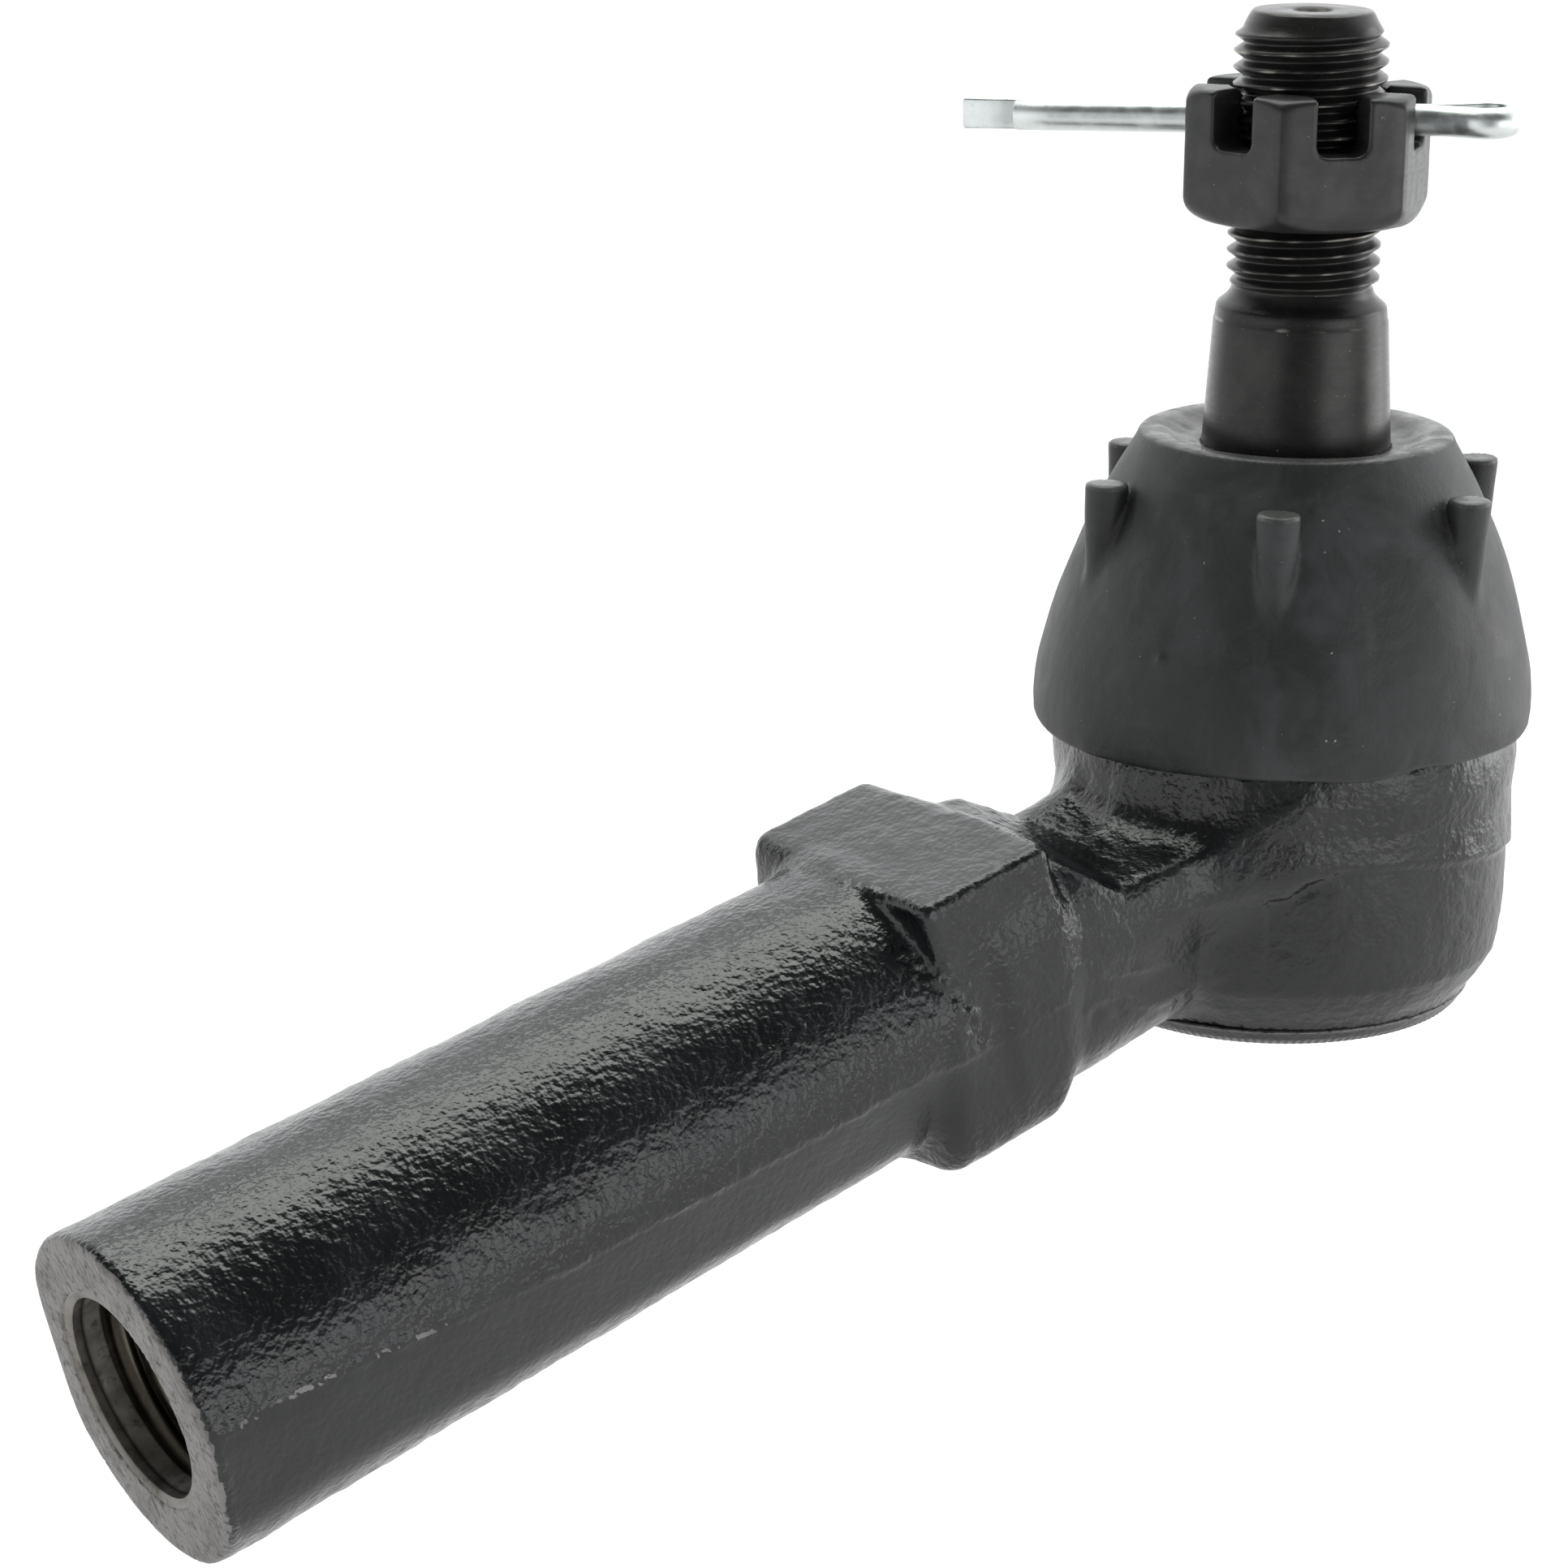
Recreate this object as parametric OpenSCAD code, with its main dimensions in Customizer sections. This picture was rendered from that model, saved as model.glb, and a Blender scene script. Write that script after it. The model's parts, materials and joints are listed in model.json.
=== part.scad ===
// Outer tie rod end: a ball joint on a straight shank with an internal thread.
// Millimetres. The origin is the ball's centre and +Z is the stud's axis.
// The shank lies in the XZ plane and runs towards -X, dropping below the stud's square plane.

/* [Shank] */
// Distance from the ball's centre to the shank's end face, along the shank
shank_length = 126.7; // [110:0.1:150]
// Angle between the shank and the plane square to the stud, in degrees
shank_drop = 14.85; // [0:0.05:18]
// Diameter of the shank at its end face
shank_end_d = 29.6; // [28:0.1:34]
// Diameter of the shank where it meets the wrench pad
shank_root_d = 26.8; // [26:0.1:30]
// Distance over the two trimmed flats that run along the shank's sides
trim_width = 27; // [26:0.1:30]

/* [Tie rod thread] */
// Minor diameter of the internal M18 x 1.5 thread
rod_thread_minor_d = 16.38; // [12:0.02:18]
// Usable length of the internal thread
rod_thread_length = 58; // [30:1:60]
// Diameter of the plain counterbore at the mouth
mouth_d = 19.4; // [18.5:0.1:22]
// Depth of the plain counterbore
mouth_depth = 3; // [1:0.5:6]

/* [Wrench pad] */
// Distance across the square pad's flats
pad_width = 26.8; // [26:0.1:30]
// Length of the pad along the shank
pad_length = 16; // [10:0.5:20]
// Distance from the ball's centre to the pad's near end
pad_start = 36.5; // [32:0.5:42]
// Radius of the pad's long edges
pad_edge_r = 4.5; // [1:0.5:6]
// Radius of the edges at the two ends of the pad's top and bottom
pad_end_r = 2; // [0.5:0.1:4]
// Radius of the edges at the two ends of the pad's sides
pad_corner_r = 3.5; // [0.5:0.1:5]

/* [Arm] */
// Width of the arm between the pad and the socket
arm_width = 23; // [18:0.5:27]
// Height of the arm
arm_height = 19; // [14:0.5:24]
// Radius of the arm's long edges
arm_edge_r = 6; // [2:0.5:9]
// Distance from the shank's axis down to the arm's middle
arm_drop = 3; // [0:0.1:4]

/* [Socket] */
// Largest diameter of the socket
socket_d = 42.8; // [41:0.1:48]
// Height of the socket's top face above the ball's centre
socket_top = 12.5; // [11:0.5:14]
// Depth of the rolled rim below the ball's centre
socket_bottom = 20.9; // [20.6:0.1:24]
// Diameter of the hole inside the rolled rim
rim_hole_d = 29; // [24:0.5:31]

/* [Ball stud] */
// Ball diameter
ball_d = 27; // [26:0.1:27.5]
// Neck diameter
neck_d = 13.6; // [11:0.1:14]
// Height of the taper's small end
taper_top = 43.5; // [40:0.5:48]
// Diameter of the taper's small end
taper_small_d = 15.94; // [15:0.02:17]
// Taper, in millimetres of length for each millimetre of diameter
taper_ratio = 8; // [6:1:12]
// Nominal diameter of the M14 x 1.5 stud thread
stud_thread_d = 14; // [12:0.5:14.5]
// Height of the stud's top face
stud_top = 71.2; // [68:0.1:76]

/* [Castle nut] */
// Distance across the nut's flats
nut_flats = 20.3; // [19:0.1:24]
// Direction of one of the nut's flats round the stud, in degrees
nut_turn = -54.7; // [-180:0.1:180]
// Height of the nut's bottom face
nut_bottom = 52.5; // [50:0.1:53]
// Height of the nut
nut_height = 12; // [11.5:0.1:14]
// Width of the nut's six slots
slot_width = 4.7; // [3.6:0.1:5]
// Depth of the slots
slot_depth = 4.9; // [4.6:0.1:6]

/* [Cotter pin] */
// Diameter of the closed pin
pin_d = 2.9; // [2:0.1:3]
// Direction of the pin's eye round the stud, in degrees
pin_turn = -52; // [-180:0.1:180]
// Height of the pin's axis
pin_height = 61.5; // [61.4:0.1:62]
// Angle by which the pin's eye sits above its legs, in degrees
pin_tilt = 1.8; // [0:0.1:2]
// Reach of the eye from the stud's axis
eye_reach = 19.2; // [17:0.1:22]
// Reach of the short leg's tip from the stud's axis
short_reach = 27; // [20:0.5:30]
// Reach of the long leg's tip from the stud's axis
long_reach = 32.1; // [22:0.1:36]

/* [Dust boot] */
// Largest diameter of the boot's skirt
boot_d = 46.4; // [45:0.1:50]
// Height of the boot's top face
boot_top = 33.1; // [30:0.1:36]
// Height of the skirt's lower edge
boot_hem = 5.8; // [5:0.1:8]
// Diameter of the flat top face
boot_face_d = 27.6; // [26:0.1:30]
// Thickness of the rubber skirt
boot_wall = 1.4; // [1:0.1:1.6]
// Diameter of the six round nibs
nib_d = 3.9; // [2:0.1:5]
// Reach of the nibs from the stud's axis
nib_reach = 20.8; // [19.5:0.1:21.5]
// Height of the nibs' flat tops
nib_top = 29.2; // [27:0.1:31]
// Direction of one of the nibs round the stud, in degrees
nib_turn = 43.9; // [-180:0.1:180]

/* [Hidden] */
$fn = 96;
gap = 0.02;            // gap between pieces that are fitted together
running_gap = 0.1;     // gap round the ball and the stud
seat_split = 0.4;      // distance of each bearing's edge from the ball's equator
ball_r = ball_d / 2;
liner_r = ball_r + 2.5;
stud_r = stud_thread_d / 2;
small_r = taper_small_d / 2;
socket_r = socket_d / 2;
cover_r = liner_r + 0.6;
cover_top = socket_bottom - 4.3;
cover_bottom = socket_bottom - 2;
liner_bottom = cover_top - 2.25;
pad_end = pad_start + pad_length;
thread_end = shank_length - mouth_depth - rod_thread_length;
boot_r = boot_d / 2;
ring_floor = boot_top - 4.1;
ring_roof = boot_top - 1.6;
ring_side = 12.5;      // radius of the steel ring's outside
nib_count = 6;
slot_count = 3;        // each cut makes two of the six slots

// Radius of the stud's taper at height z
function taper_r(z) = small_r + (taper_top - z) / (2 * taper_ratio);

// Points of an arc with centre [cx, cy] and radius r, from angle a to angle b
function arc(cx, cy, r, a, b, steps) =
    [for (i = [0:steps]) let (t = a + (b - a) * i / steps) [cx + r * cos(t), cy + r * sin(t)]];

// Radius of the boot's outside at height z
function boot_skirt(z) =
    let (u = (z - boot_hem - 1.5) / (boot_top - boot_hem - 1.5))
    boot_r - (boot_r - boot_face_d / 2) * pow(max(u, 0), 2.1);

// Turns children from +Z to the shank's direction
module along_shank() {
    rotate([0, -90 - shank_drop, 0]) children();
}

// Square with round corners, drawn about its centre
module round_rect(x, y, r) {
    square([x - 2 * r, y], center = true);
    square([x, y - 2 * r], center = true);
    for (sx = [-1, 1], sy = [-1, 1])
        translate([sx * (x / 2 - r), sy * (y / 2 - r)])
            circle(r = r);
}

// Outside of the round socket
module socket_outside() {
    face_r = 17;       // radius of the top face and of the rolled rim's lower face
    corner_r = 8;
    corner_z = 8.6 - socket_bottom;
    rotate_extrude()
        polygon(concat(
            [[0, socket_top], [face_r, socket_top], [socket_r - 1.4, socket_top - 4.5],
             [socket_r - 0.3, socket_top - 6.5], [socket_r, -1.3]],
            arc(socket_r - corner_r, corner_z, corner_r, 0, -56, 8),
            [[face_r, -socket_bottom], [0, -socket_bottom]]));
}

// Bored inside of the socket, with the ball seat, the cover's step and the rolled rim's hole
module socket_inside() {
    throat_r = 13;     // radius of the opening in the top face
    seat_angle = 41.4; // angle above the equator at which the seat meets the throat's cone
    rotate_extrude()
        polygon(concat(
            [[0, -socket_bottom - 1], [rim_hole_d / 2, -socket_bottom - 1],
             [rim_hole_d / 2, -cover_bottom], [cover_r, -cover_bottom],
             [cover_r, -cover_top], [liner_r, -cover_top]],
            arc(0, 0, liner_r, 0, seat_angle, 10),
            [[throat_r, socket_top + 0.01], [0, socket_top + 0.01]]));
}

// Tapered shank with a flat trimmed along each side
module shank() {
    start = pad_end - 6;   // inside the pad
    along_shank()
        intersection() {
            translate([0, 0, start])
                cylinder(h = shank_length - start, d1 = shank_root_d, d2 = shank_end_d);
            translate([-shank_end_d, -trim_width / 2, 0])
                cube([2 * shank_end_d, trim_width, shank_length + 1]);
        }
}

// Square pad that a wrench grips, rounded along all its edges
module wrench_pad() {
    along_shank()
        translate([0, 0, pad_start + pad_length / 2])
            intersection() {
                linear_extrude(height = pad_length + 2, center = true)
                    round_rect(pad_width, pad_width, pad_edge_r);
                rotate([90, 0, 0])
                    linear_extrude(height = pad_width + 2, center = true)
                        round_rect(pad_width, pad_length, pad_end_r);
                rotate([90, 0, 90])
                    linear_extrude(height = pad_width + 2, center = true)
                        round_rect(pad_width, pad_length, pad_corner_r);
            }
}

// Arm between the pad and the socket
module arm() {
    start = 14;            // inside the socket's wall
    along_shank()
        translate([-arm_drop, 0, start])
            linear_extrude(height = pad_start + 1 - start)
                round_rect(arm_height, arm_width, arm_edge_r);
}

// Threaded hole and its counterbore
module rod_hole() {
    drill_point = 4.5;
    along_shank() {
        translate([0, 0, thread_end])
            cylinder(h = rod_thread_length + mouth_depth + 1, d = rod_thread_minor_d);
        translate([0, 0, thread_end - drill_point])
            cylinder(h = drill_point + 0.01, r1 = 0.1, r2 = rod_thread_minor_d / 2);
        translate([0, 0, shank_length - mouth_depth])
            cylinder(h = mouth_depth + 1, d = mouth_d);
    }
}

module housing() {
    color("#1c1d1f")
        difference() {
            union() {
                socket_outside();
                shank();
                wrench_pad();
                arm();
            }
            socket_inside();
            rod_hole();
        }
}

module cover_plate() {
    dome_r = 9;
    dome_rise = 0.7;
    color("#5d5f61")
        rotate_extrude()
            polygon([[0, -cover_top - dome_rise], [dome_r, -cover_top], [cover_r - gap, -cover_top],
                     [cover_r - gap, -cover_bottom + gap], [dome_r + 1.5, -cover_bottom + gap],
                     [dome_r - 1, -cover_bottom - dome_rise], [0, -cover_bottom - dome_rise]]);
}

module preload_spring() {
    wall = 1.1;
    edge = 0.6;            // width of the narrow rings that bear on the cup and on the cover
    rise = cover_top - liner_bottom - wall;
    inner_r = 5.5;
    outer_r = liner_r - 1.3;
    color("#6d7176")
        rotate_extrude()
            polygon([[inner_r, -liner_bottom - wall], [inner_r, -liner_bottom - gap],
                     [inner_r + edge, -liner_bottom - gap], [outer_r, -liner_bottom - rise - gap],
                     [outer_r, -cover_top + gap], [outer_r - edge, -cover_top + gap]]);
}

module lower_bearing() {
    hole_r = 5;
    top = -seat_split;
    seat_r = ball_r + running_gap;
    color("#e6e3d8")
        difference() {
            translate([0, 0, -liner_bottom])
                cylinder(h = liner_bottom + top, r = liner_r - gap);
            sphere(r = seat_r);
            translate([0, 0, -liner_bottom - 1])
                cylinder(h = 6, r = hole_r);
        }
}

module upper_bearing() {
    mouth_z = 8.2;
    seat_r = ball_r + running_gap;
    color("#e6e3d8")
        difference() {
            intersection() {
                sphere(r = liner_r - gap);
                translate([0, 0, seat_split])
                    cylinder(h = mouth_z - seat_split, r = liner_r);
            }
            sphere(r = seat_r);
        }
}

// Hole through the stud for the cotter pin
module cross_hole() {
    translate([0, 0, pin_height])
        rotate([0, 90, pin_turn])
            cylinder(h = 4 * stud_r, d = pin_d + 0.6, center = true);
}

module ball_stud() {
    flat_z = 12.6;         // depth of the flat under the ball
    flare_z = 17;          // height at which the neck widens towards the taper
    taper_bottom = 22;
    relief_r = stud_r - 0.9;
    chamfer = 1.6;
    centre_depth = 2.4;    // depth of the centre mark in the top face
    color("#2a2a2c")
        difference() {
            union() {
                intersection() {
                    sphere(r = ball_r);
                    translate([0, 0, -flat_z])
                        cylinder(h = 3 * ball_r, r = ball_r + 1);
                }
                rotate_extrude()
                    polygon([[0, 0], [neck_d / 2, 0], [neck_d / 2, flare_z],
                             [taper_r(taper_bottom), taper_bottom], [small_r, taper_top],
                             [relief_r, taper_top + 2.5], [relief_r, taper_top + 3.5],
                             [stud_r, taper_top + 4.3], [stud_r, stud_top - chamfer],
                             [stud_r - chamfer, stud_top], [0, stud_top]]);
            }
            cross_hole();
            translate([0, 0, stud_top - centre_depth])
                cylinder(h = centre_depth + 0.1, r1 = 0.3, r2 = 1.8);
        }
}

module dust_boot() {
    steps = 12;
    face_r = boot_face_d / 2;
    hem_r = boot_r - 0.2;
    nib_bottom = boot_hem + 15.5;
    outside = [for (i = [0:steps]) let (z = boot_hem + (boot_top - boot_hem) * i / steps)
               [i == 0 ? hem_r : boot_skirt(z), z]];
    inside = [for (i = [steps - 2:-1:0]) let (z = boot_hem + (ring_floor - boot_hem) * i / (steps - 2))
              [boot_skirt(z) - boot_wall, z]];
    color("#242526")
        difference() {
            union() {
                rotate_extrude()
                    polygon(concat(outside,
                        [[taper_r(boot_top) + running_gap, boot_top],
                         [taper_r(ring_roof) + running_gap, ring_roof],
                         [ring_side + gap, ring_roof], [ring_side + gap, ring_floor]],
                        inside));
                for (i = [1:nib_count])
                    rotate([0, 0, nib_turn + 360 / nib_count * i])
                        translate([nib_reach - nib_d / 2, 0, nib_bottom])
                            cylinder(h = nib_top - nib_bottom, d = nib_d);
            }
            // keeps the nibs' roots out of the hollow
            rotate_extrude()
                polygon(concat([[0, boot_hem - 1], [boot_r - boot_wall, boot_hem - 1]],
                    [for (i = [len(inside) - 1:-1:0]) inside[i]], [[0, ring_floor]]));
        }
}

module boot_ring() {
    color("#77797b")
        rotate_extrude()
            polygon([[taper_r(ring_floor) + running_gap, ring_floor],
                     [ring_side, ring_floor], [ring_side, ring_roof - gap],
                     [taper_r(ring_roof) + running_gap, ring_roof - gap]]);
}

module castle_nut() {
    corner_r = nut_flats / sqrt(3);
    chamfer_h = 1.3;
    top_chamfer_h = 0.7;
    color("#262628")
        translate([0, 0, nut_bottom])
            difference() {
                intersection() {
                    rotate([0, 0, nut_turn + 30])
                        cylinder(h = nut_height, r = corner_r, $fn = 6);
                    union() {
                        cylinder(h = chamfer_h, r1 = corner_r - 2, r2 = corner_r);
                        translate([0, 0, chamfer_h])
                            cylinder(h = nut_height - chamfer_h - top_chamfer_h, r = corner_r);
                        translate([0, 0, nut_height - top_chamfer_h])
                            cylinder(h = top_chamfer_h, r1 = corner_r, r2 = corner_r - 1.2);
                    }
                }
                translate([0, 0, -1])
                    cylinder(h = nut_height + 2, r = stud_r + 0.03);
                for (i = [1:slot_count])
                    translate([0, 0, nut_height - slot_depth])
                        rotate([0, 0, pin_turn + 60 * i])
                            translate([-corner_r - 1, -slot_width / 2, 0])
                                cube([2 * corner_r + 2, slot_width, slot_depth + 1]);
            }
}

// One half-round leg of the pin, from x = start back to its tip. Side is 1 or -1
module leg(start, reach, side) {
    intersection() {
        translate([-reach, 0, 0])
            rotate([0, 90, 0])
                cylinder(h = start + reach, d = pin_d);
        translate([-reach - 1, side > 0 ? 0 : -pin_d, -pin_d])
            cube([start + reach + 2, pin_d, 2 * pin_d]);
    }
}

module cotter_pin() {
    split = 0.05;
    wire = pin_d / 2 - split;
    eye_r = 3.1;
    eye_x = eye_reach - eye_r;
    color("#c9cdcf")
        translate([0, 0, pin_height])
            rotate([0, -pin_tilt, pin_turn])
                difference() {
                    union() {
                        leg(eye_x - eye_r + wire, long_reach, 1);
                        leg(eye_x - eye_r + wire, short_reach, -1);
                        translate([eye_x, 0, 0])
                            rotate_extrude()
                                translate([eye_r - wire, 0])
                                    intersection() {
                                        circle(d = pin_d, $fn = 32);
                                        translate([0, -pin_d])
                                            square([wire, 2 * pin_d]);
                                    }
                    }
                    translate([-long_reach - 1, -split, -pin_d])
                        cube([long_reach + 1 + eye_x, 2 * split, 2 * pin_d]);
                    // keeps the legs' roots out of the eye
                    translate([eye_x, 0, -pin_d])
                        cylinder(h = 2 * pin_d, r = eye_r - wire);
                }
}

housing();
cover_plate();
preload_spring();
lower_bearing();
upper_bearing();
ball_stud();
dust_boot();
boot_ring();
castle_nut();
cotter_pin();
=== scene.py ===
"""Looks of the tie rod end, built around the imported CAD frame.

Shapes are worked out in millimetres, in the CAD's own frame, and become metres when a piece is made.
Cast, forged and moulded pieces are distance fields turned into meshes, so that they have real fillets.
"""

import json
import math

import bmesh
import bpy
import numpy as np
from mathutils import Matrix, Vector


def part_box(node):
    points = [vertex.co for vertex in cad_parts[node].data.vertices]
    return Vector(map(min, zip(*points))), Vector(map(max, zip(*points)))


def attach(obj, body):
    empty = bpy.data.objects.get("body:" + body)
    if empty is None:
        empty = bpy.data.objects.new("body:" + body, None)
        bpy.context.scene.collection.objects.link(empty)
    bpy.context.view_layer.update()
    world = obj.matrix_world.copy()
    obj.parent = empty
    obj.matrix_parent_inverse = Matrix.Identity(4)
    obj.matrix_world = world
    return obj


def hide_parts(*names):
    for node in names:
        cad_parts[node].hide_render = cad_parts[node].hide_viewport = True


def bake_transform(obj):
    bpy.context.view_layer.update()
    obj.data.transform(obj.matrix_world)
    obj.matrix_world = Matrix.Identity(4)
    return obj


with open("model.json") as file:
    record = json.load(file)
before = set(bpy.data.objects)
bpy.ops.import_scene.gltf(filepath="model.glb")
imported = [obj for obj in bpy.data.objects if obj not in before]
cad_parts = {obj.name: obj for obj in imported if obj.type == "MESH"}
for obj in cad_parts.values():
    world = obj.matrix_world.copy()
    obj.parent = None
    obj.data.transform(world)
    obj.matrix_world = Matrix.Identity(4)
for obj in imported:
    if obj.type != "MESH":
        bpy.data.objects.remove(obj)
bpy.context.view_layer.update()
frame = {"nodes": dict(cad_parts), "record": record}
MM = 0.001

# ---------------------------------------------------------------- dimensions, in millimetres and degrees

MOUNTS = {m["name"]: m for m in frame["record"]["mounts"]}
SHANK_AXIS = np.array(MOUNTS["shank_thread"]["axis"], float)
DROP_COS = -SHANK_AXIS[0]
DROP_SIN = -SHANK_AXIS[2]


def mesh_points(mesh):
    """The vertices of a mesh, in millimetres."""
    co = np.zeros(len(mesh.vertices) * 3)
    mesh.vertices.foreach_get("co", co)
    return co.reshape(-1, 3) / MM


SHANK_END = float((mesh_points(frame["nodes"]["housing"].data) @ SHANK_AXIS).max())
SHANK_END_R = 14.85
SHANK_ROOT_R = 13.45
SHANK_ROOT = 52.0          # distance from the ball's centre to the shank's root
BORE_MINOR_R = MOUNTS["shank_thread"]["dims"]["r_mm"]
BORE_THREAD_DEEP = SHANK_END - 61.0
MOUTH_R = 9.72
MOUTH_DEPTH = 3.0

STUD_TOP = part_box("ball_stud")[1].z / MM
STUD_THREAD_R = 6.95
THREAD_PITCH = 1.5
THREAD_DEPTH = 0.86
STUD_THREAD_TURN = 0.645   # share of a turn by which the stud's thread is turned
TAPER_TOP = 43.5
TAPER_TOP_R = 7.95
NUT_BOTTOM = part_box("castle_nut")[0].z / MM
NUT_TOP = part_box("castle_nut")[1].z / MM
NUT_FLAT_R = 10.15
NUT_CORNER_R = 11.62
NUT_CORNER_TURN = 35.3
SLOT_TURN = NUT_CORNER_TURN - 90
SLOT_BOTTOM = 59.35
SLOT_WIDTH = 4.7
PIN_HEIGHT = 61.5
PIN_TURN = -52.0
PIN_TILT = 1.8
PIN_R = 1.42
SHORT_LEG = 27.0
LONG_LEG = 32.0
EYE_REACH = 19.2

BOOT_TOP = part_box("dust_boot")[1].z / MM
BOOT_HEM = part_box("dust_boot")[0].z / MM
BOOT_WALL = 1.4
NIB_R = 1.95
NIB_MIDDLE = 18.85
NIB_TOP = 29.2
NIB_TURN = 43.9

HEAD_BOTTOM = -19.35
LIP_BOTTOM = -20.85
OFFSET_X, OFFSET_Y = -0.811, 0.584     # the way in which the rim, the lip and the boot sit off centre


# ---------------------------------------------------------------- distance fields and meshes

def smooth_min(a, b, k):
    """The smaller of two distances, with a fillet about k across where they meet."""
    t = np.clip(0.5 + 0.5 * (b - a) / k, 0, 1)
    return b * (1 - t) + a * t - k * t * (1 - t)


def smooth_max(a, b, k):
    return -smooth_min(-a, -b, k)


CORNERS = [(i, j, k) for i in (0, 1) for j in (0, 1) for k in (0, 1)]


def sample(field, axes):
    """The field at the grid's points, taken a slab at a time to save memory."""
    x, y, z = axes
    slab = 12
    return np.concatenate([
        field(x[i:i + slab, None, None], y[None, :, None], z[None, None, :])
        for i in range(0, len(x), slab)
    ])


def net_points(values, cells):
    """In each cell, the mean of the places where its edges cross zero, in grid steps."""
    value = {c: values[tuple((cells + c).T)] for c in CORNERS}
    total = np.zeros((len(cells), 3))
    hits = np.zeros(len(cells))
    for a in CORNERS:
        for axis in range(3):
            if a[axis]:
                continue
            b = tuple(1 if i == axis else v for i, v in enumerate(a))
            crossed = (value[a] < 0) != (value[b] < 0)
            place = np.tile(np.array(a, float), (len(cells), 1))
            place[:, axis] = value[a] / np.where(crossed, value[a] - value[b], 1)
            total += place * crossed[:, None]
            hits += crossed
    return cells + total / hits[:, None]


def net_quads(inside, number):
    """A quad across each grid edge that crosses the surface, facing outwards."""
    quads = []
    for axis in range(3):
        u, w = (axis + 1) % 3, (axis + 2) % 3
        edges = np.argwhere(inside != np.roll(inside, -1, axis))
        around = []
        for du, dw in ((-1, -1), (0, -1), (0, 0), (-1, 0)):
            cell = edges.copy()
            cell[:, u] += du
            cell[:, w] += dw
            around.append(number[tuple(cell.T)])
        quad = np.stack(around, 1)
        outward = inside[tuple(edges.T)]
        quads.append(np.where(outward[:, None], quad, quad[:, ::-1]))
    return np.concatenate(quads)


def surface_net(field, low, high, step):
    """Vertices and quads of the field's zero surface, on a grid. The field is below 0 inside."""
    axes = [np.arange(a, b + step, step) for a, b in zip(low, high)]
    values = sample(field, axes)
    inside = values < 0
    size = [len(a) - 1 for a in axes]
    count = np.zeros(size, np.int8)
    for i, j, k in CORNERS:
        count += inside[i:i + size[0], j:j + size[1], k:k + size[2]]
    cells = np.argwhere((count > 0) & (count < 8))
    points = np.array(low) + step * net_points(values, cells)
    number = np.full(size, -1, np.int32)
    number[tuple(cells.T)] = np.arange(len(cells))
    return points, net_quads(inside, number)


def slope(field, points, reach=0.02):
    """The field's gradient at each point."""
    result = np.zeros_like(points)
    for axis in range(3):
        step = np.zeros(3)
        step[axis] = reach
        result[:, axis] = (field(*(points + step).T) - field(*(points - step).T)) / (2 * reach)
    return result


def settle(field, points, step, rounds=4):
    """Points moved onto the field's zero surface, and the surface's normals there."""
    for _ in range(rounds):
        grad = slope(field, points)
        length = np.maximum((grad ** 2).sum(1), 0.2)
        move = -(field(*points.T) / length)[:, None] * grad
        points = points + np.clip(move, -0.5 * step, 0.5 * step)
    grad = slope(field, points)
    return points, grad / np.maximum(np.linalg.norm(grad, axis=1), 1e-6)[:, None]


def bumps(points, size, seed, waves=48):
    """Smooth random bumps of about that size, mostly between -1 and 1."""
    rng = np.random.default_rng(seed)
    ways = rng.normal(size=(waves, 3))
    ways /= np.linalg.norm(ways, axis=1)[:, None]
    paces = 2 * math.pi / size * rng.uniform(0.6, 1.4, waves)
    starts = rng.uniform(0, 2 * math.pi, waves)
    total = np.zeros(len(points))
    for way, pace, start in zip(ways, paces, starts):
        total += np.sin(points @ way * pace + start)
    return total * math.sqrt(2 / waves) / 1.6


def convexity(points, normals, quads):
    """How sharply the surface bends outwards at each vertex, smoothed a little."""
    pairs = np.concatenate([quads[:, [0, 1]], quads[:, [1, 2]], quads[:, [2, 3]], quads[:, [3, 0]]])
    a, b = pairs.T
    gap = points[a] - points[b]
    length = np.maximum(np.linalg.norm(gap, axis=1), 1e-6)
    bend = (normals[a] * gap).sum(1) / length ** 2
    degree = np.maximum(np.bincount(a, minlength=len(points)), 1)
    value = np.bincount(a, bend, len(points)) / degree
    for _ in range(2):
        value = 0.5 * value + 0.5 * np.bincount(a, value[b], len(points)) / degree
    return value


def make_piece(name, points, faces, body, material):
    """A smooth-shaded mesh object from points in millimetres, riding on a body if one is named."""
    mesh = bpy.data.meshes.new(name)
    faces = np.asarray(faces)
    count, sides = faces.shape
    mesh.vertices.add(len(points))
    mesh.vertices.foreach_set("co", (np.asarray(points) * MM).astype(np.float32).ravel())
    mesh.loops.add(count * sides)
    mesh.loops.foreach_set("vertex_index", faces.astype(np.int32).ravel())
    mesh.polygons.add(count)
    mesh.polygons.foreach_set("loop_start", np.arange(0, count * sides, sides, dtype=np.int32))
    mesh.update(calc_edges=True)
    mesh.validate()
    mesh.polygons.foreach_set("use_smooth", np.full(len(mesh.polygons), True))
    mesh.materials.append(material)
    piece = bpy.data.objects.new(name, mesh)
    bpy.context.scene.collection.objects.link(piece)
    if body:
        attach(piece, body)
    return piece


def add_values(piece, name, values):
    """A number at each vertex that the piece's material reads."""
    attribute = piece.data.attributes.new(name, "FLOAT", "POINT")
    attribute.data.foreach_set("value", np.asarray(values, np.float32))


def ring_faces(rows, columns):
    """Quads of a grid whose columns close into a ring. They face outwards if its rows climb."""
    i, j = np.meshgrid(np.arange(rows - 1), np.arange(columns), indexing="ij")
    a = i * columns + j
    b = i * columns + (j + 1) % columns
    return np.stack([a, b, b + columns, a + columns], -1).reshape(-1, 4)


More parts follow.
